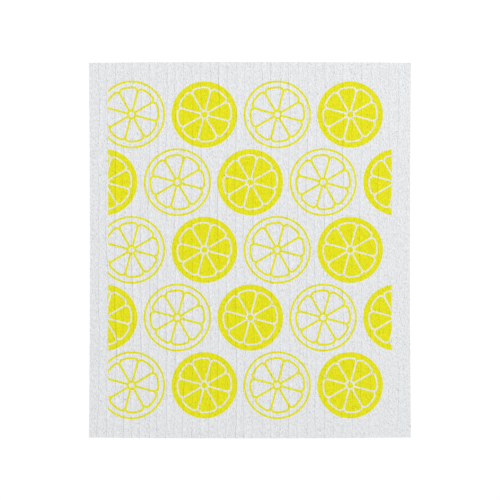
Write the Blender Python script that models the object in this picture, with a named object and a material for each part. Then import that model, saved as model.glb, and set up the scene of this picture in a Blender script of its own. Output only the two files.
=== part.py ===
"""Sponge cloth: one die-cut sheet of dry cellulose sponge, ribbed along its length.

Metres, +Z up. The sheet lies flat with its printed face up, its width along X and its ribs
along Y, and its origin is under the middle of it.
"""

import math

import bmesh
import bpy

# The dry sheet, measured over its widest places
WIDTH = 0.1705
LENGTH = 0.1993
THICKNESS = 0.0020

# The cut outline: drying pulls the long sides in at their middle and lets the ends bow out
SIDE_HOLLOW = 0.0005
END_BOW = 0.00045
EDGE_ROUND = 0.0003

# Ribs, and the narrow creases that part them, none nearer to a cut side than the least margin
RIB_PITCH = 0.00469
PITCH_GROWTH = 0.050
MIDDLE_CREASE = 0.0017
CREASE_DEPTH = 0.00040
UNDER_CREASE_DEPTH = 0.00018
LEAST_MARGIN = 0.0006

# A rib stands steeply out of the crease at its left and falls away to the one at its right
STEEP_WIDTH = 0.0004
GENTLE_WIDTH = 0.0008
MIDDLE_FALL = 0.00013
SIDE_FALL = 0.00016

# How the creases stray to the side, all together and each by itself, and fade along their way
SHARED_STRAY = 0.00035
SHARED_LENGTH = 0.122
SHARED_PEAK = 0.073
STRAY = 0.0007
STRAY_LENGTH = 0.085
FADE = 0.35
FADE_LENGTH = 0.071
FADE_TO_RIGHT = 0.15

# Spacing of the cross rows that follow the creases
ROW_PITCH = 0.0175

# Faces that meet at less than this angle are shaded as one soft surface
SHARP_ANGLE = math.radians(35)

# Bare sponge as dried: a cool off-white, dull all over
SPONGE_COLOUR = (0.775, 0.791, 0.806, 1.0)
SPONGE_ROUGHNESS = 0.92

# A turn that no two neighbouring creases share
GOLDEN_TURN = math.pi * (3 - math.sqrt(5))


def clear_scene():
    for thing in list(bpy.data.objects):
        bpy.data.objects.remove(thing, do_unlink=True)


def crease_place(number):
    """The place across the sheet of one crease: ribs grow a little wider from left to right."""
    ribs_to_edge = WIDTH / 2 / RIB_PITCH
    growth = PITCH_GROWTH * number**2 / (2 * ribs_to_edge)
    return MIDDLE_CREASE + RIB_PITCH * (number + growth)


def crease_numbers():
    """The creases that fit between the two long sides, from left to right."""
    clear = EDGE_ROUND + LEAST_MARGIN + max(STEEP_WIDTH, GENTLE_WIDTH)
    reach = WIDTH / 2 - clear - SHARED_STRAY - STRAY
    most = math.ceil(WIDTH / RIB_PITCH)
    return [number for number in range(-most, most + 1) if abs(crease_place(number)) < reach]


def stray(number, along):
    """How far a crease lies beside its straight line at one place along the sheet."""
    shared = SHARED_STRAY * math.cos(2 * math.pi * (along - SHARED_PEAK) / SHARED_LENGTH)
    turn = 2 * math.pi * along / STRAY_LENGTH
    phase = number * GOLDEN_TURN
    return shared + STRAY * (math.sin(turn + phase) + 0.4 * math.sin(2.3 * turn + 3 * phase)) / 1.4


def strength(number, along):
    """How deep a crease is at one place, as a share of its full depth."""
    turn = 2 * math.pi * along / FADE_LENGTH
    swing = 0.5 - 0.5 * math.sin(turn + 2 * number * GOLDEN_TURN)
    across = 0.5 + crease_place(number) / WIDTH
    return 1 - FADE * swing - FADE_TO_RIGHT * across


def columns():
    """The lines of points along the sheet, left to right, as (kind, place across, crease)."""
    numbers = crease_numbers()
    side = WIDTH / 2
    lines = [("edge", -side, numbers[0]), ("rib", EDGE_ROUND - side, numbers[0])]
    for number in numbers:
        centre = crease_place(number)
        lines.append(("side", centre - GENTLE_WIDTH, number))
        lines.append(("crease", centre, number))
        lines.append(("lip", centre + STEEP_WIDTH, number))
        if number < numbers[-1]:
            lines.append(("middle", (centre + crease_place(number + 1)) / 2, number))
    lines.append(("rib", side - EDGE_ROUND, numbers[-1]))
    lines.append(("edge", side, numbers[-1]))
    return lines


def rows():
    """The places along the sheet of the cross rows, as (kind, place)."""
    end = LENGTH / 2
    inner = end - EDGE_ROUND
    spans = max(2, round(2 * inner / ROW_PITCH))
    middle = [("row", -inner + 2 * inner * step / spans) for step in range(spans + 1)]
    return [("edge", -end)] + middle + [("edge", end)]


def outline_point(across, along):
    """Moves a point of the plain rectangle with the hollow sides and the bowed ends."""
    wide = 1 - 2 * SIDE_HOLLOW / WIDTH * (1 - (2 * along / LENGTH) ** 2)
    long = 1 - 2 * END_BOW / LENGTH * (2 * across / WIDTH) ** 2
    return across * wide, along * long


def top_height(kind, number, along):
    """The printed side: each rib is highest at its lip and lowest where it ends in a crease."""
    if kind == "crease":
        return THICKNESS - CREASE_DEPTH * strength(number, along)
    if kind == "lip":
        return THICKNESS
    if kind == "middle":
        return THICKNESS - MIDDLE_FALL
    return THICKNESS - SIDE_FALL


def under_height(kind, number, along):
    """The underside rests on flat lands, with shallower creases under those of the top."""
    if kind == "crease":
        return UNDER_CREASE_DEPTH * strength(number, along)
    return 0.0


def lay_face(mesh, height, edge_step):
    """Adds one face of the sheet to the mesh, as a grid of points that follow the creases."""
    lines = columns()
    places = rows()
    made = bmesh.ops.create_grid(
        mesh, x_segments=len(lines) - 1, y_segments=len(places) - 1, size=0.5
    )
    for point in made["verts"]:
        kind, across, number = lines[round((point.co.x + 0.5) * (len(lines) - 1))]
        row_kind, along = places[round((point.co.y + 0.5) * (len(places) - 1))]
        if kind in ("side", "crease", "lip"):
            across += stray(number, along)
        step = edge_step if "edge" in (kind, row_kind) else 0.0
        point.co.z = height(kind, number, along) + step
        point.co.x, point.co.y = outline_point(across, along)


def sponge_material():
    material = bpy.data.materials.new("dry_cellulose_sponge")
    material.use_nodes = True
    surface = material.node_tree.nodes["Principled BSDF"]
    surface.inputs["Base Color"].default_value = SPONGE_COLOUR
    surface.inputs["Roughness"].default_value = SPONGE_ROUGHNESS
    surface.inputs["Metallic"].default_value = 0.0
    return material


def sponge_cloth():
    mesh = bmesh.new()
    lay_face(mesh, top_height, -EDGE_ROUND)
    lay_face(mesh, under_height, EDGE_ROUND)
    rims = [edge for edge in mesh.edges if edge.is_boundary]
    bmesh.ops.bridge_loops(mesh, edges=rims)
    bmesh.ops.recalc_face_normals(mesh, faces=mesh.faces)
    data = bpy.data.meshes.new("sponge_cloth")
    mesh.to_mesh(data)
    mesh.free()
    data.shade_smooth()
    data.set_sharp_from_angle(angle=SHARP_ANGLE)
    data.materials.append(sponge_material())
    cloth = bpy.data.objects.new("sponge_cloth", data)
    bpy.context.scene.collection.objects.link(cloth)
    return cloth


clear_scene()
sponge_cloth()
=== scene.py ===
# %% [markdown]
# # A dry sponge cloth, seen from straight above
#
# A sponge cloth is a sheet of cellulose sponge with cotton fibre in it. It is cast on a ribbed
# belt, printed with water-based ink, die-cut to size and dried until it is stiff as card. So it
# is one piece, two millimetres thick, and all that the eye enjoys lies in its surface: soft
# ribs parted by narrow, straying creases, open pores, a felted skin, and flat yellow ink.
#
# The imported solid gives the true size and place. It is loaded first and never moved.

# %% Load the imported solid
import math

import bmesh
import bpy
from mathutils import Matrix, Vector, noise


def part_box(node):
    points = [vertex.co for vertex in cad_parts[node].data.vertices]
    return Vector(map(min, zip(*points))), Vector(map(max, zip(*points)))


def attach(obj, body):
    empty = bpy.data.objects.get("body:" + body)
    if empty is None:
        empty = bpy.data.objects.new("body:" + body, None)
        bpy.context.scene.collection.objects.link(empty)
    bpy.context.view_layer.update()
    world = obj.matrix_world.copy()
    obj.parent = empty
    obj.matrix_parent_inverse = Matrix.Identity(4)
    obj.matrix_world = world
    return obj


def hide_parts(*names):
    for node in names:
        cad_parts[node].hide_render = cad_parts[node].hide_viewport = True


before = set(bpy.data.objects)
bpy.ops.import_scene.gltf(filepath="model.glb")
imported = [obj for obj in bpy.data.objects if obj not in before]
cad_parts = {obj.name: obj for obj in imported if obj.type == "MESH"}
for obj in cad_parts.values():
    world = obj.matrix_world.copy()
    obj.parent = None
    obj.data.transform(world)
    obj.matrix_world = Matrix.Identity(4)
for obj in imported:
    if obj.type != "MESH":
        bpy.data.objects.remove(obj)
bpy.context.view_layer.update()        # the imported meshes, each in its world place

# %% [markdown]
# The lesson counts in millimetres, because that is how a cloth is measured, and turns them
# into metres where Blender takes them. Only the floor's width and the lamp are given in metres.

# %% Sizes of the sheet, read from the solid
MM = 0.001
SHEET_LOW, SHEET_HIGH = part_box("sponge_cloth")
WIDTH, LENGTH, THICKNESS = ((high - low) / MM for low, high in zip(SHEET_LOW, SHEET_HIGH))
print(f"sheet: {WIDTH:.1f} x {LENGTH:.1f} x {THICKNESS:.1f} mm")

# %% [markdown]
# ## Ribs and creases
#
# Ribs could be drawn as a sine wave, but real ones are broad, nearly flat pads with a narrow
# crease between them. Each crease strays a little to either side, fades and comes back. So the
# creases are laid out first, one line for each, and the mesh is built to follow them: points
# crowd where the surface bends and spread out where it is flat. The lines are those of the
# solid, with a little less stray, so that the dressed sheet and the solid have the same form.
# Each crease begins its drift a golden angle after the last, so that no two neighbours match.

# %% Where the creases run
RIB_PITCH = 4.69
PITCH_GROWTH = 0.050
MIDDLE_CREASE = 1.70
SHARED_STRAY, SHARED_LENGTH, SHARED_PEAK = 0.35, 122.0, 73.0
STRAY, STRAY_LENGTH = 0.42, 85.0
SECOND_WAVE, SECOND_TURNS = 0.4, 2.3
LEAST_MARGIN = 2.75
GOLDEN_TURN = math.pi * (3 - math.sqrt(5))


def crease_place(number):
    """Where a crease crosses the sheet: the ribs widen slowly from left to right."""
    growth = PITCH_GROWTH * number**2 * RIB_PITCH / WIDTH
    return MIDDLE_CREASE + RIB_PITCH * (number + growth)


def stray(number, along):
    """The slow sideways drift of one crease: a part that all share, and a part of its own."""
    shared = SHARED_STRAY * math.cos(2 * math.pi * (along - SHARED_PEAK) / SHARED_LENGTH)
    turn = 2 * math.pi * along / STRAY_LENGTH
    phase = number * GOLDEN_TURN
    second = SECOND_WAVE * math.sin(SECOND_TURNS * turn + 3 * phase)
    return shared + STRAY * (math.sin(turn + phase) + second) / (1 + SECOND_WAVE)


MOST_RIBS = math.ceil(WIDTH / RIB_PITCH)
CREASES = [
    number
    for number in range(-MOST_RIBS, MOST_RIBS + 1)
    if abs(crease_place(number)) < WIDTH / 2 - LEAST_MARGIN
]
first, last = crease_place(CREASES[0]), crease_place(CREASES[-1])
print(f"{len(CREASES)} creases, from {first:.1f} to {last:.1f} mm beside the middle")

# %% [markdown]
# A crease is a small fold: the rib at its right stands up steeply out of it and falls away
# gently to the next one. Light from the right leaves the steep side dark, so each crease is
# drawn as a thin dark line with a soft bright lip beside it. Its height comes and goes over a
# few centimetres and is greatest near the lower left corner. Every second fold is a little
# stronger, and each wobbles as it goes.

# %% How high a fold is, and how it wobbles
FOLD_HEIGHT = 0.28
SECOND_ONE = 0.16
FADE, FADE_LENGTH = 0.35, 71.0
FADE_TO_RIGHT, FADE_POWER = 0.40, 3
GROWTH_TO_CORNER = 0.50
OPEN_SHARE, OPEN_SWING, OPEN_LENGTH = 0.56, 0.60, 26.0
LEAST_OPEN, MOST_OPEN = 0.20, 1.2
OPEN_NOISE = {"apart": 7.3, "seed": 0.5, "falloff": 0.6}
WOBBLE, WOBBLE_LENGTH = 0.45, 20.0
WOBBLE_NOISE = {"apart": 3.1, "seed": 4.5, "falloff": 0.7}
FINER_STEP, NOISE_LAYERS = 2.7, 3


def crease_noise(number, along, apart, seed, falloff):
    """Noise along one crease, which its neighbours don't share."""
    spot = Vector((apart * number, along, seed))
    return noise.fractal(spot, falloff, FINER_STEP, NOISE_LAYERS)


def fold_height(number, along):
    """Height of one fold at one place: it is open for a few centimetres, then nearly closed."""
    turn = 2 * math.pi * along / FADE_LENGTH
    slow = 1 - FADE * (0.5 - 0.5 * math.sin(turn + 2 * number * GOLDEN_TURN))
    right = FADE_TO_RIGHT * (0.5 + crease_place(number) / WIDTH) ** FADE_POWER
    corner = GROWTH_TO_CORNER * (0.5 - crease_place(number) / WIDTH) * (0.5 - along / LENGTH)
    swing = crease_noise(number, along / OPEN_LENGTH, **OPEN_NOISE)
    opened = min(MOST_OPEN, max(LEAST_OPEN, OPEN_SHARE + OPEN_SWING * swing))
    second = 1 + SECOND_ONE * (1 - 2 * (number % 2))
    return FOLD_HEIGHT * (slow - right + corner) * opened * second


def crease_line(number, along):
    """Place across the sheet of one crease on one cross row."""
    wobble = crease_noise(number, along / WOBBLE_LENGTH, **WOBBLE_NOISE)
    return crease_place(number) + stray(number, along) + WOBBLE * wobble


print(f"the middle fold is {fold_height(0, 0.0):.2f} mm high, halfway along the sheet")

# %% [markdown]
# Between the creases the skin isn't smooth. Drying leaves a slow swell over the sheet, fine
# wrinkles that run with the ribs, and small dimples where a pore lies just under the skin.
# Noise that is stretched along the ribs gives the wrinkles, and the distance to scattered
# points gives the dimples. Anything narrower than a millimetre is left to the material.

# %% The skin between the creases
SWELL, SWELL_LENGTH = 0.08, 38.0
WRINKLE, WRINKLE_WIDTH, WRINKLE_LENGTH, WRINKLE_SEED = 0.025, 1.6, 30.0, 9.2
DIMPLE_DEPTH, DIMPLE_SPACING, DIMPLE_RADIUS, DIMPLE_SQUEEZE = 0.025, 3.4, 0.85, 0.7


def skin(across, along):
    """Height of the skin over the plain sheet, in mm, without ribs and creases."""
    swell = SWELL * noise.noise(Vector((across, along, 0)) / SWELL_LENGTH)
    grain = Vector((across / WRINKLE_WIDTH, along / WRINKLE_LENGTH, WRINKLE_SEED))
    wrinkle = noise.noise(grain)
    spot = Vector((across, DIMPLE_SQUEEZE * along, 0)) / DIMPLE_SPACING
    near = noise.voronoi(spot)[0][0] * DIMPLE_SPACING
    dimple = max(0.0, 1 - near / DIMPLE_RADIUS)
    return swell + WRINKLE * wrinkle - DIMPLE_DEPTH * dimple**2


heights = [skin(across, 0.0) for across in range(-80, 81)]
print(f"skin along a line across the sheet: {min(heights):+.3f} to {max(heights):+.3f} mm")

# %% [markdown]
# ## The cut outline
#
# The die cuts a true rectangle, but the sheet dries a little unevenly, so the long sides are
# half a millimetre hollow and the ends bow out as much. Two parabolas are enough for that.

# %% Outline
SIDE_HOLLOW = 0.5
END_BOW = 0.45


def outline_point(across, along):
    """Moves a point of the plain rectangle to where it lies on the dried sheet."""
    wide = 1 - 2 * SIDE_HOLLOW / WIDTH * (1 - (2 * along / LENGTH) ** 2)
    long = 1 - 2 * END_BOW / LENGTH * (2 * across / WIDTH) ** 2
    return across * wide, along * long


side, end = outline_point(WIDTH / 2, 0.0)[0], outline_point(WIDTH / 2, LENGTH / 2)[1]
print(f"side {side:.2f} mm from the middle, halfway along, and corner {end:.2f} mm along")

# %% [markdown]
# ## Building the mesh
#
# One grid is laid for the printed face and a coarser one for the underside, and the two rims
# are bridged with the cut edge between them. A grid whose columns follow the creases keeps a
# crease sharp with few points. A displaced even grid would need several times as many. Most
# columns stand just right of a crease, where the fold turns over.

# %% Columns and rows of a grid
TOP_PLACES = (0.0, 0.012, 0.028, 0.055, 0.105, 0.19, 0.31, 0.46, 0.63, 0.82, 0.97)
UNDER_PLACES = (0.0, 0.1, 0.5, 0.9)


def cross_rows(pitch):
    """Places of the cross rows, from one cut end to the other."""
    spans = round(LENGTH / pitch)
    return [LENGTH * (step / spans - 0.5) for step in range(spans + 1)]


def rib_ends(rib, along):
    """Left and right end of one rib on one cross row. The first and last end at the cut."""
    left = -WIDTH / 2
    if rib > 0:
        left = crease_line(CREASES[rib - 1], along)
    right = WIDTH / 2
    if rib < len(CREASES):
        right = crease_line(CREASES[rib], along)
    return left, right


MIDDLE_RIB = len(CREASES) // 2
left_end, right_end = rib_ends(MIDDLE_RIB, 0.0)
print(f"the middle rib is {right_end - left_end:.2f} mm wide, halfway along the sheet")

# %% [markdown]
# From the left, a rib leaps up out of its crease, rounds over into a lip, and falls along half
# a cosine wave for about two and a half millimetres. Just before the next crease it lifts a
# little again, which makes a notch of the crease and not only a step. The plain height of the
# ribs leaves a quarter of a millimetre of the thickness for the lips.

# %% Heights of the printed face
NOTCH_SHARE = 0.05
STEEP_RUN, FALL_RUN = 0.09, 2.6
FOOT_SHARE, FOOT_WALL, FOOT_RUN = 0.10, 0.10, 2.0
LIP_ROOM = 0.26
RIB_BASE = THICKNESS - LIP_ROOM


def ease(share):
    """Half a cosine wave: 1 at no distance, and 0 from a share of 1 on."""
    return 0.5 + 0.5 * math.cos(math.pi * min(share, 1.0))


def fold_rise(rib, past_left, to_right, along):
    """How far the folds at the two ends of a rib lift a point of it, or pull it down."""
    rise = 0.0
    if rib > 0:
        fold = fold_height(CREASES[rib - 1], along)
        rise += fold * ease(past_left / FALL_RUN)
        rise -= (1 + NOTCH_SHARE) * fold * math.exp(-((past_left / STEEP_RUN) ** 2))
    if rib < len(CREASES):
        fold = fold_height(CREASES[rib], along)
        rise += FOOT_SHARE * fold * ease(to_right / FOOT_RUN)
        rise -= (FOOT_SHARE + NOTCH_SHARE) * fold * math.exp(-((to_right / FOOT_WALL) ** 2))
    return rise


def top_height(rib, share, left, right, along):
    """Height of the printed face: a rib between two folds, with its skin."""
    across = left + (right - left) * share
    rise = fold_rise(rib, across - left, right - across, along)
    return RIB_BASE + rise + skin(across, along)


profile = [top_height(MIDDLE_RIB, share, left_end, right_end, 0.0) for share in TOP_PLACES]
print("profile of the middle rib, in mm:", [round(high, 2) for high in profile])

# %% [markdown]
# The underside has to lie still on a worktop, so it keeps flat lands. Its creases run under
# those of the printed face, are shallower, and stop short of the cut edge.

# %% Height of the underside
UNDER_DEPTH = 0.18
UNDER_WALL = 0.45


def under_height(rib, share, left, right, along):
    """Height of the underside: flat lands to rest on, with shallow creases between them."""
    across = left + (right - left) * share
    nearest = min(across - left, right - across)
    dent = UNDER_DEPTH * math.exp(-((nearest / UNDER_WALL) ** 2))
    if min(WIDTH / 2 - abs(across), LENGTH / 2 - abs(along)) < UNDER_WALL:
        dent = 0.0
    return dent


print(f"creases of the underside: {under_height(1, 0.0, 0.0, RIB_PITCH, 0.0):.2f} mm deep")

# %% [markdown]
# A face starts as Blender's even grid, which gives its points and faces in good order. Each
# point is then moved to its own column of its own rib.

# %% Lay one face as a grid
def lay_face(mesh, places, row_pitch, height):
    """Adds one face to the mesh, with its columns at those shares of each rib's width."""
    rows = cross_rows(row_pitch)
    steps = len(places)
    columns = steps * (len(CREASES) + 1)
    grid = bmesh.ops.create_grid(mesh, x_segments=columns, y_segments=len(rows) - 1, size=0.5)
    ends = {}
    for point in grid["verts"]:
        column = round((point.co.x + 0.5) * columns)
        row = round((point.co.y + 0.5) * (len(rows) - 1))
        rib = min(column // steps, len(CREASES))
        share = (*places, 1.0)[column - rib * steps]
        along = rows[row]
        if (rib, row) not in ends:
            ends[rib, row] = rib_ends(rib, along)
        left, right = ends[rib, row]
        across, flat_along = outline_point(left + (right - left) * share, along)
        high = height(rib, share, left, right, along)
        point.co = Vector((across, flat_along, high)) * MM


# %% [markdown]
# The cut edge shows the foam inside: the two rims are bridged with a few rows of faces, and
# noise pushes the middle rows in and out, so that the wall looks like foam and not like card.

# %% Join the two faces along the cut edge
EDGE_ROWS = 2
EDGE_ROUGHNESS = 0.10
EDGE_GRAIN = 0.9


def bridge_rims(mesh):
    """Bridges the rims of the two faces and roughens the rows between them."""
    before = set(mesh.verts)
    rims = [edge for edge in mesh.edges if edge.is_boundary]
    wall = bmesh.ops.bridge_loops(mesh, edges=rims)
    uprights = [
        edge
        for edge in {edge for face in wall["faces"] for edge in face.edges}
        if edge not in rims
    ]
    bmesh.ops.subdivide_edges(mesh, edges=uprights, cuts=EDGE_ROWS)
    for point in mesh.verts:
        if point in before:
            continue
        push = EDGE_ROUGHNESS * MM * noise.noise(point.co / (EDGE_GRAIN * MM))
        away = Vector((point.co.x, point.co.y, 0)).normalized()
        point.co -= away * (push + 0.5 * EDGE_ROUGHNESS * MM)


# %% [markdown]
# The rows lie a little under a millimetre apart on the printed face, which is enough for the
# slow drift of the creases. Faces that meet at more than fifty degrees are shaded as a hard
# edge: those of the rim, which the knife leaves crisp, and of the steepest folds.

# %% Build the sheet
TOP_ROW_PITCH = 0.92
UNDER_ROW_PITCH = 3.2
SHARP_ANGLE = math.radians(50)


def build_sheet():
    mesh = bmesh.new()
    lay_face(mesh, TOP_PLACES, TOP_ROW_PITCH, top_height)
    lay_face(mesh, UNDER_PLACES, UNDER_ROW_PITCH, under_height)
    bridge_rims(mesh)
    bmesh.ops.recalc_face_normals(mesh, faces=mesh.faces)
    data = bpy.data.meshes.new("sponge_sheet")
    mesh.to_mesh(data)
    mesh.free()
    data.shade_smooth()
    data.set_sharp_from_angle(angle=SHARP_ANGLE)
    sheet = bpy.data.objects.new("sponge_sheet", data)
    bpy.context.scene.collection.objects.link(sheet)
    return sheet


sheet = build_sheet()
sheet.data.calc_loop_triangles()
print(f"sheet: {len(sheet.data.loop_triangles)} triangles")

# %% [markdown]
# ## Material: dried cellulose sponge
#
# Regenerated cellulose dries to a chalky, cool off-white. It has no gloss to speak of, an index
# of refraction near 1.47, and a trace of sheen from the cotton lint. Its colour hardly varies.
# What the eye reads as texture is pores of about half a millimetre and short fibres that lie
# along the ribs. Those go into the bump, and a little into the colour as painted shade: darker
# in the pores, where light that enters comes back weaker, and between the raised fibres.
#
# A shader is a tree of nodes, and one small function adds each of them.

# %% Colour and node helpers
def linear(code):
    """Turns an sRGB hex colour into the linear values that Blender's sockets hold."""
    channels = [int(code[at : at + 2], 16) / 255 for at in (1, 3, 5)]
    return [
        c / 12.92 if c <= 0.04045 else ((c + 0.055) / 1.055) ** 2.4 for c in channels
    ] + [1.0]


def add(tree, kind, links=None, **settings):
    """Adds one node with its settings. Each link is from a node, or from one of its outputs,
    or is a fixed value, and it is named by the socket's name or number."""
    node = tree.nodes.new(kind)
    for name, value in settings.items():
        setattr(node, name, value)
    for key, source in (links or {}).items():
        socket = node.inputs[key]
        if isinstance(key, str):
            socket = next(each for each in node.inputs if each.name == key and each.enabled)
        if isinstance(source, bpy.types.Node):
            source = next(each for each in source.outputs if each.enabled)
        if isinstance(source, bpy.types.NodeSocket):
            tree.links.new(source, socket)
        else:
            socket.default_value = source
    return node


print("mid grey in linear light:", [round(value, 3) for value in linear("#808080")])

# %% [markdown]
# Every pattern is placed by the sheet's own coordinates, turned into millimetres. So each size
# below is a size on the cloth.

# %% Start the sponge material, with coordinates in millimetres
CELLULOSE_IOR = 1.47
SPONGE_GLOSS = 0.15
LINT_SHEEN = 0.04

sponge = bpy.data.materials.new("dried_cellulose_sponge")
sponge.use_nodes = True
tree = sponge.node_tree
surface = tree.nodes["Principled BSDF"]
surface.inputs["IOR"].default_value = CELLULOSE_IOR
surface.inputs["Specular IOR Level"].default_value = SPONGE_GLOSS
surface.inputs["Sheen Weight"].default_value = LINT_SHEEN

place = add(tree, "ShaderNodeTexCoord")
mm_place = add(
    tree,
    "ShaderNodeVectorMath",
    {0: place.outputs["Object"], 1: (1 / MM, 1 / MM, 1 / MM)},
    operation="MULTIPLY",
)
axes = add(tree, "ShaderNodeSeparateXYZ", {0: mm_place})
print(f"{sponge.name}: IOR {CELLULOSE_IOR}, sheen {LINT_SHEEN}")

# %% [markdown]
# Pores come from a cell pattern whose cells are as far apart as the pores are, and stretched
# along the ribs. The middle of a cell is open, more or less by luck, and in a quarter of them
# it is shut. Fibres come from noise that is squeezed across the ribs: half of it short, and
# half in strands about twice as long. A single cotton fibre is only a fiftieth of a millimetre
# thick and wouldn't show, so the noise is as wide as a tuft of them.

# %% Pores and fibres
PORE_SPACING = 0.70
SHUT_PORES, WIDEST_PORE = 0.25, 0.42
FIBRE_WIDTH, FIBRE_LENGTH = 0.40, 0.75
STRAND_WIDTH, STRAND_LENGTH = 0.55, 1.6
STRAND_SHARE = 0.50

along_ribs = add(
    tree,
    "ShaderNodeVectorMath",
    {0: mm_place, 1: (1 / FIBRE_WIDTH, 1 / FIBRE_LENGTH, 1 / FIBRE_WIDTH)},
    operation="MULTIPLY",
)
short_fibres = add(
    tree,
    "ShaderNodeTexNoise",
    {"Vector": along_ribs, "Scale": 1.0, "Detail": 2.0, "Roughness": 0.6},
)
along_strands = add(
    tree,
    "ShaderNodeVectorMath",
    {0: mm_place, 1: (1 / STRAND_WIDTH, 1 / STRAND_LENGTH, 1 / STRAND_WIDTH)},
    operation="MULTIPLY",
)
strands = add(
    tree,
    "ShaderNodeTexNoise",
    {"Vector": along_strands, "Scale": 1.0, "Detail": 1.0, "Roughness": 0.5},
)
fibres = add(
    tree,
    "ShaderNodeMix",
    {"Factor": STRAND_SHARE, "A": short_fibres, "B": strands},
    data_type="FLOAT",
)
pore_cells = add(
    tree,
    "ShaderNodeTexVoronoi",
    {"Vector": along_ribs, "Scale": FIBRE_WIDTH / PORE_SPACING},
    feature="F1",
)
pore_luck = add(tree, "ShaderNodeSeparateColor", {0: pore_cells.outputs["Color"]})
pore_reach = add(
    tree,
    "ShaderNodeMapRange",
    {"Value": pore_luck, "From Min": SHUT_PORES, "To Max": WIDEST_PORE},
)
pore = add(
    tree,
    "ShaderNodeMapRange",
    {"Value": pore_cells, "From Min": pore_reach, "From Max": 0.0},
    interpolation_type="SMOOTHSTEP",
)
print(f"pores {PORE_SPACING} mm apart, up to {2 * WIDEST_PORE * PORE_SPACING:.2f} mm wide")

# %% [markdown]
# ## The print
#
# The print is a plain repeat of citrus wheels in one yellow, by turns as line work and as
# solid discs. Ink is colour in the surface, not a piece, so it is drawn in the material. Each
# wheel is built from true circles and straight spokes, by distance: a point's distance to a
# line, compared with half the line's width, says whether it is inked. That stays sharp at any
# size, which an image would not.
#
# First the sheet is divided into cells, one for each wheel: every second row is shifted. Rows
# are counted only to the outermost ones, and wheels only to the last at the right, so that
# nothing repeats beyond them. Along the ribs the print is stretched by under one part in a
# hundred, the little that a cloth gives on the press.

# %% Which wheel a point belongs to
PRINT_STRETCH = 1.0077
MIDDLE_ROW = 0.16
ROW_STEP = 35.55
WHEEL_STEP = 38.57
FIRST_WHEEL = -62.67
ROW_SHIFT = -14.29
LAST_ROW = 2.0
LAST_WHEEL = 3.0

print_along = add(
    tree,
    "ShaderNodeMath",
    {0: axes.outputs["Y"], 1: 1 / PRINT_STRETCH, 2: -MIDDLE_ROW},
    operation="MULTIPLY_ADD",
)
row = add(tree, "ShaderNodeMath", {0: print_along, 1: ROW_STEP}, operation="DIVIDE")
nearest_row = add(tree, "ShaderNodeMath", {0: row}, operation="ROUND")
row_number = add(
    tree, "ShaderNodeClamp", {"Value": nearest_row, "Min": -LAST_ROW, "Max": LAST_ROW}
)
odd_row = add(tree, "ShaderNodeMath", {0: row_number, 1: 1.0}, operation="PINGPONG")
row_place = add(
    tree,
    "ShaderNodeMath",
    {0: row_number, 1: -ROW_STEP, 2: print_along},
    operation="MULTIPLY_ADD",
)
from_first = add(
    tree, "ShaderNodeMath", {0: axes.outputs["X"], 1: FIRST_WHEEL}, operation="SUBTRACT"
)
shifted = add(
    tree, "ShaderNodeMath", {0: odd_row, 1: -ROW_SHIFT, 2: from_first}, operation="MULTIPLY_ADD"
)
wheel = add(tree, "ShaderNodeMath", {0: shifted, 1: WHEEL_STEP}, operation="DIVIDE")
nearest_wheel = add(tree, "ShaderNodeMath", {0: wheel}, operation="ROUND")
last_wheel = add(tree, "ShaderNodeMath", {0: odd_row, 1: LAST_WHEEL}, operation="ADD")
wheel_number = add(
    tree, "ShaderNodeMath", {0: nearest_wheel, 1: last_wheel}, operation="MINIMUM"
)
wheel_place = add(
    tree,
    "ShaderNodeMath",
    {0: wheel_number, 1: -WHEEL_STEP, 2: shifted},
    operation="MULTIPLY_ADD",
)
turn_taken = add(tree, "ShaderNodeMath", {0: wheel_number, 1: odd_row}, operation="ADD")
is_solid = add(tree, "ShaderNodeMath", {0: turn_taken, 1: 1.0}, operation="PINGPONG")
print(f"{2 * LAST_ROW + 1:.0f} rows of wheels, {ROW_STEP * PRINT_STRETCH:.1f} mm apart")

# %% [markdown]
# Within its cell a point is turned into distance and angle from the wheel's centre. All eight
# segments are alike, so the angle is folded into half of one: then one spoke and one rounded
# corner draw all of them.

# %% One segment of a wheel
SEGMENT = math.radians(45)
FIRST_SPOKE = math.radians(30)
RIM_RADIUS = 17.30
SEGMENT_RADIUS = 14.235
CORNER_RADIUS = 2.35
HUB_RADIUS = 2.0

radius_squared = add(
    tree, "ShaderNodeMath", {0: wheel_place, 1: wheel_place}, operation="MULTIPLY"
)
radius_sum = add(
    tree,
    "ShaderNodeMath",
    {0: row_place, 1: row_place, 2: radius_squared},
    operation="MULTIPLY_ADD",
)
radius = add(tree, "ShaderNodeMath", {0: radius_sum}, operation="SQRT")
angle = add(tree, "ShaderNodeMath", {0: row_place, 1: wheel_place}, operation="ARCTAN2")
from_spoke = add(tree, "ShaderNodeMath", {0: angle, 1: FIRST_SPOKE}, operation="SUBTRACT")
to_spoke = add(tree, "ShaderNodeMath", {0: from_spoke, 1: SEGMENT / 2}, operation="PINGPONG")
spoke_sine = add(tree, "ShaderNodeMath", {0: to_spoke}, operation="SINE")
spoke_distance = add(tree, "ShaderNodeMath", {0: radius, 1: spoke_sine}, operation="MULTIPLY")
past_side = add(
    tree, "ShaderNodeMath", {0: CORNER_RADIUS, 1: spoke_distance}, operation="SUBTRACT"
)
past_arc = add(
    tree, "ShaderNodeMath", {0: radius, 1: SEGMENT_RADIUS - CORNER_RADIUS}, operation="SUBTRACT"
)
past_both = add(
    tree,
    "ShaderNodeCombineXYZ",
    {
        0: add(tree, "ShaderNodeMath", {0: past_side, 1: 0.0}, operation="MAXIMUM"),
        1: add(tree, "ShaderNodeMath", {0: past_arc, 1: 0.0}, operation="MAXIMUM"),
    },
)
corner = add(tree, "ShaderNodeVectorMath", {0: past_both}, operation="LENGTH")
inside = add(tree, "ShaderNodeMath", {0: past_side, 1: past_arc}, operation="MAXIMUM")
inside_only = add(tree, "ShaderNodeMath", {0: inside, 1: 0.0}, operation="MINIMUM")
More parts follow.
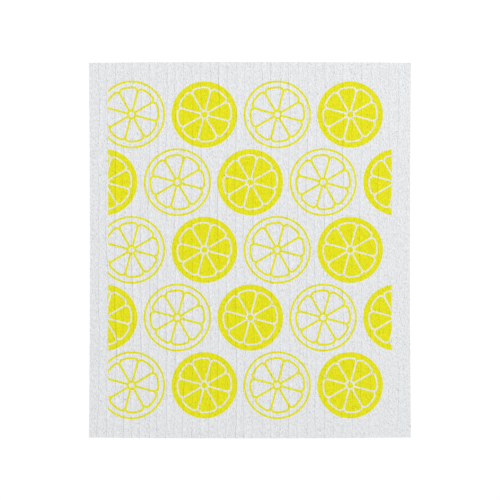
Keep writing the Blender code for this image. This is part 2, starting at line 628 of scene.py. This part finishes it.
segment_edge = add(tree, "ShaderNodeMath", {0: corner, 1: inside_only}, operation="ADD")
segment_distance = add(
    tree, "ShaderNodeMath", {0: segment_edge, 1: CORNER_RADIUS}, operation="SUBTRACT"
)
print(f"{2 * math.pi / SEGMENT:.0f} segments, their arc {SEGMENT_RADIUS} mm from the centre")

# %% [markdown]
# The line work is everything within half a line's width of a segment's outline, outside the
# hub, and of the hub's own ring. An outlined wheel adds its rim as a third line. A solid
# wheel is a disc from which the same line work is left out.

# %% Line work, rim and disc
HALF_LINE = 0.475
HALF_RIM_LINE = 0.46

line_reach = add(tree, "ShaderNodeMath", {0: segment_distance}, operation="ABSOLUTE")
segment_line = add(tree, "ShaderNodeMath", {0: line_reach, 1: HALF_LINE}, operation="SUBTRACT")
inside_hub = add(tree, "ShaderNodeMath", {0: HUB_RADIUS, 1: radius}, operation="SUBTRACT")
open_line = add(tree, "ShaderNodeMath", {0: segment_line, 1: inside_hub}, operation="MAXIMUM")
hub_reach = add(tree, "ShaderNodeMath", {0: inside_hub}, operation="ABSOLUTE")
hub_line = add(tree, "ShaderNodeMath", {0: hub_reach, 1: HALF_LINE}, operation="SUBTRACT")
lines = add(tree, "ShaderNodeMath", {0: open_line, 1: hub_line}, operation="MINIMUM")
past_rim = add(tree, "ShaderNodeMath", {0: radius, 1: RIM_RADIUS}, operation="SUBTRACT")
rim_reach = add(tree, "ShaderNodeMath", {0: past_rim}, operation="ABSOLUTE")
rim_line = add(tree, "ShaderNodeMath", {0: rim_reach, 1: HALF_RIM_LINE}, operation="SUBTRACT")
outlined = add(tree, "ShaderNodeMath", {0: lines, 1: rim_line}, operation="MINIMUM")
not_lines = add(tree, "ShaderNodeMath", {0: lines, 1: -1.0}, operation="MULTIPLY")
solid = add(tree, "ShaderNodeMath", {0: past_rim, 1: not_lines}, operation="MAXIMUM")
figure = add(
    tree, "ShaderNodeMix", {"Factor": is_solid, "A": outlined, "B": solid}, data_type="FLOAT"
)
print(f"lines on the screen: {2 * HALF_LINE:.2f} mm wide, and rims {2 * HALF_RIM_LINE:.2f} mm")

# %% [markdown]
# The printing screen ends in a straight line near each long side, so the outer wheels are
# cut off there. Ink spreads by a tenth of a millimetre all round and creeps along the fibres,
# which roughens its edge, and it lies on the printed face only.

# %% Where the ink lies
PRINT_HALF_WIDTH = 75.0
INK_GAIN = 0.10
INK_CREEP = 0.03
INK_SOFTNESS = 0.02
INK_REACH = INK_CREEP / 2 + INK_GAIN

side_reach = add(tree, "ShaderNodeMath", {0: axes.outputs["X"]}, operation="ABSOLUTE")
past_screen = add(
    tree, "ShaderNodeMath", {0: side_reach, 1: PRINT_HALF_WIDTH}, operation="SUBTRACT"
)
under_middle = add(
    tree, "ShaderNodeMath", {0: THICKNESS / 2, 1: axes.outputs["Z"]}, operation="SUBTRACT"
)
ink_edge = figure
for limit in (past_screen, under_middle):
    ink_edge = add(tree, "ShaderNodeMath", {0: ink_edge, 1: limit}, operation="MAXIMUM")
crept = add(
    tree, "ShaderNodeMath", {0: fibres, 1: INK_CREEP, 2: ink_edge}, operation="MULTIPLY_ADD"
)
ink = add(
    tree,
    "ShaderNodeMapRange",
    {
        "Value": crept,
        "From Min": INK_REACH + INK_SOFTNESS,
        "From Max": INK_REACH - INK_SOFTNESS,
    },
    interpolation_type="SMOOTHSTEP",
)
print(f"lines on the cloth: {2 * (HALF_LINE + INK_GAIN):.2f} mm wide")

# %% [markdown]
# The ink is a water-based pigment ink, pressed through a screen. It is a clear lemon yellow,
# sinks into the sponge and dries without gloss. Its colour moves between two yellows with the
# same painted shade as the bare sponge: darker in the pores and between the raised fibres.

# %% Colours of sponge and ink, and their painted shade
# The second colour of each pair is painted shade, for the pores and the gaps between fibres.
SPONGE_PALE, SPONGE_SHADED = "#EAEBED", "#B5B9BC"
INK_BRIGHT, INK_SHADED = "#E9E61A", "#BBB906"
MEAN_SHADE, FIBRE_SHADE, PORE_SHADE = 0.97, -1.6, 0.75

# Painted shade: the colour darkens in the pores and between the raised fibres, on bare sponge
# and ink alike.
shade = add(
    tree,
    "ShaderNodeMath",
    {0: fibres, 1: FIBRE_SHADE, 2: MEAN_SHADE},
    operation="MULTIPLY_ADD",
    use_clamp=True,
)
painted_shade = add(
    tree,
    "ShaderNodeMath",
    {0: pore, 1: PORE_SHADE, 2: shade},
    operation="MULTIPLY_ADD",
    use_clamp=True,
)
bare = add(
    tree,
    "ShaderNodeMix",
    {"Factor": painted_shade, "A": linear(SPONGE_PALE), "B": linear(SPONGE_SHADED)},
    data_type="RGBA",
)
inked = add(
    tree,
    "ShaderNodeMix",
    {"Factor": painted_shade, "A": linear(INK_BRIGHT), "B": linear(INK_SHADED)},
    data_type="RGBA",
)
printed = add(tree, "ShaderNodeMix", {"Factor": ink, "A": bare, "B": inked}, data_type="RGBA")
tree.links.new(printed.outputs[2], surface.inputs["Base Color"])
print(f"bare sponge {SPONGE_PALE} to {SPONGE_SHADED}, ink {INK_BRIGHT} to {INK_SHADED}")

# %% [markdown]
# Fibres, grain, fine wrinkles and pores also shape the surface, and here and there a tuft of
# lint stands up as a nub. Each has a height in millimetres, and one bump node turns their sum
# into a tilt of the surface. Dried ink fills the finest grain, so an inked spot is a little
# smoother.

# %% Fine relief and roughness
FIBRE_HEIGHT = 0.50
PORE_HEIGHT = -0.14
GRAIN_HEIGHT, GRAIN_SIZE = 0.09, 0.45
FINE_WRINKLE_HEIGHT, FINE_WRINKLE_WIDTH, FINE_WRINKLE_LENGTH = 0.04, 0.9, 14.0
NUB_HEIGHT, NUB_SPACING, NUB_RADIUS = 0.16, 22.0, 0.9
SPONGE_ROUGHNESS, INK_ROUGHNESS = 0.93, 0.80

grain = add(
    tree,
    "ShaderNodeTexNoise",
    {"Vector": mm_place, "Scale": 1 / GRAIN_SIZE, "Detail": 2.0, "Roughness": 0.5},
)
along_wrinkles = add(
    tree,
    "ShaderNodeVectorMath",
    {0: mm_place, 1: (1 / FINE_WRINKLE_WIDTH, 1 / FINE_WRINKLE_LENGTH, 1 / FINE_WRINKLE_WIDTH)},
    operation="MULTIPLY",
)
fine_wrinkles = add(
    tree,
    "ShaderNodeTexNoise",
    {"Vector": along_wrinkles, "Scale": 1.0, "Detail": 1.0, "Roughness": 0.5},
)
wrinkle_height = add(
    tree, "ShaderNodeMath", {0: fine_wrinkles, 1: FINE_WRINKLE_HEIGHT}, operation="MULTIPLY"
)
grain_height = add(
    tree,
    "ShaderNodeMath",
    {0: grain, 1: GRAIN_HEIGHT, 2: wrinkle_height},
    operation="MULTIPLY_ADD",
)
fibre_height = add(
    tree,
    "ShaderNodeMath",
    {0: fibres, 1: FIBRE_HEIGHT, 2: grain_height},
    operation="MULTIPLY_ADD",
)
nub_cells = add(
    tree, "ShaderNodeTexVoronoi", {"Vector": mm_place, "Scale": 1 / NUB_SPACING}, feature="F1"
)
nub = add(
    tree,
    "ShaderNodeMapRange",
    {"Value": nub_cells, "From Min": NUB_RADIUS / NUB_SPACING, "From Max": 0.0},
    interpolation_type="SMOOTHSTEP",
)
nub_height = add(
    tree, "ShaderNodeMath", {0: nub, 1: NUB_HEIGHT, 2: fibre_height}, operation="MULTIPLY_ADD"
)
relief = add(
    tree, "ShaderNodeMath", {0: pore, 1: PORE_HEIGHT, 2: nub_height}, operation="MULTIPLY_ADD"
)
bump = add(tree, "ShaderNodeBump", {"Height": relief, "Strength": 1.0, "Distance": MM})
tree.links.new(bump.outputs[0], surface.inputs["Normal"])
roughness = add(
    tree,
    "ShaderNodeMapRange",
    {"Value": ink, "To Min": SPONGE_ROUGHNESS, "To Max": INK_ROUGHNESS},
)
tree.links.new(roughness.outputs[0], surface.inputs["Roughness"])
sheet.data.materials.append(sponge)
print(f"{sponge.name}: {len(tree.nodes)} nodes")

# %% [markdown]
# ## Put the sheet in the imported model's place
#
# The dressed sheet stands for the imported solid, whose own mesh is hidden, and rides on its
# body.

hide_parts("sponge_cloth")
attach(sheet, "root")
print(f"{sheet.name} stands for sponge_cloth")

# %% [markdown]
# ## Studio
#
# A flat white thing on white needs light that is mostly even, with just enough of it from one
# side to draw the ribs. So a pale sky gives over three quarters of the light, and one low
# softbox at the upper right gives the rest, most of it at the corner that is nearest to it.
# The floor is a light table of opal acrylic. It glows white and hardly reflects, so the sheet
# throws no shadow on it and its edge stays clear.

# %% Floor
FLOOR_SIZE = 8.0
FLOOR_GAP = 0.02
FLOOR_BODY = "#2E2E2E"
FLOOR_ROUGHNESS, FLOOR_GLOSS = 0.9, 0.1
FLOOR_GLOW = 0.99

acrylic = bpy.data.materials.new("opal_acrylic_light_table")
acrylic.use_nodes = True
acrylic_surface = acrylic.node_tree.nodes["Principled BSDF"]
acrylic_surface.inputs["Base Color"].default_value = linear(FLOOR_BODY)
acrylic_surface.inputs["Roughness"].default_value = FLOOR_ROUGHNESS
acrylic_surface.inputs["Specular IOR Level"].default_value = FLOOR_GLOSS
acrylic_surface.inputs["Emission Color"].default_value = linear("#FFFFFF")
acrylic_surface.inputs["Emission Strength"].default_value = FLOOR_GLOW

floor_mesh = bmesh.new()
bmesh.ops.create_grid(floor_mesh, x_segments=1, y_segments=1, size=FLOOR_SIZE / 2)
floor_data = bpy.data.meshes.new("studio_floor")
floor_mesh.to_mesh(floor_data)
floor_mesh.free()
floor_data.materials.append(acrylic)
floor = bpy.data.objects.new("studio_floor", floor_data)
floor.location.z = -FLOOR_GAP * MM
bpy.context.scene.collection.objects.link(floor)
print(f"{floor.name}: {FLOOR_SIZE} m wide, {FLOOR_GAP} mm under the sheet")

# %% [markdown]
# The softbox hangs low, 35 degrees over the cloth, so that it grazes the folds. It is a metre
# wide, which keeps the creases' shadows soft.

# %% Sky and softbox
SKY_STRENGTH = 0.744
LAMP = {"turn": 53, "height": 35, "distance": 2.2, "size": 1.0, "power": 28.0}

sky = bpy.data.worlds.new("pale_studio")
sky.use_nodes = True
sky.node_tree.nodes["Background"].inputs["Color"].default_value = linear("#FFFFFF")
sky.node_tree.nodes["Background"].inputs["Strength"].default_value = SKY_STRENGTH
bpy.context.scene.world = sky


def softbox(name, turn, height, distance, size, power):
    """Hangs a square lamp round the sheet, aimed at its middle. turn is counted from +X."""
    data = bpy.data.lights.new(name, "AREA")
    data.size = size
    data.energy = power
    lamp = bpy.data.objects.new(name, data)
    turn, height = math.radians(turn), math.radians(height)
    level = math.cos(height)
    away = Vector((math.cos(turn) * level, math.sin(turn) * level, math.sin(height)))
    lamp.location = away * distance
    lamp.rotation_euler = away.to_track_quat("Z", "Y").to_euler()
    bpy.context.scene.collection.objects.link(lamp)


softbox("softbox", **LAMP)
print(f"sky of strength {SKY_STRENGTH}, and a softbox of {LAMP['power']} W")

# %% [markdown]
# ## Camera
#
# The photograph was taken from straight above with a long lens: both pairs of edges look
# parallel. Its frame takes in 264.6 mm at the height of the cloth, and the cloth's middle lies
# a fifth of a pixel off the frame's middle.

# %% Camera
FRAME_WIDTH = 264.55
LENS, SENSOR = 100.0, 36.0
OFF_CENTRE = (0.04, 0.10)

camera_data = bpy.data.cameras.new("photo_camera")
camera_data.lens = LENS
camera_data.sensor_width = SENSOR
camera = bpy.data.objects.new("photo_camera", camera_data)
height = THICKNESS + FRAME_WIDTH * LENS / SENSOR
camera.location = Vector((*OFF_CENTRE, height)) * MM
bpy.context.scene.collection.objects.link(camera)
bpy.context.scene.camera = camera
bpy.context.scene.view_settings.view_transform = "Standard"
print(f"camera {height:.0f} mm up, {FRAME_WIDTH} mm across")
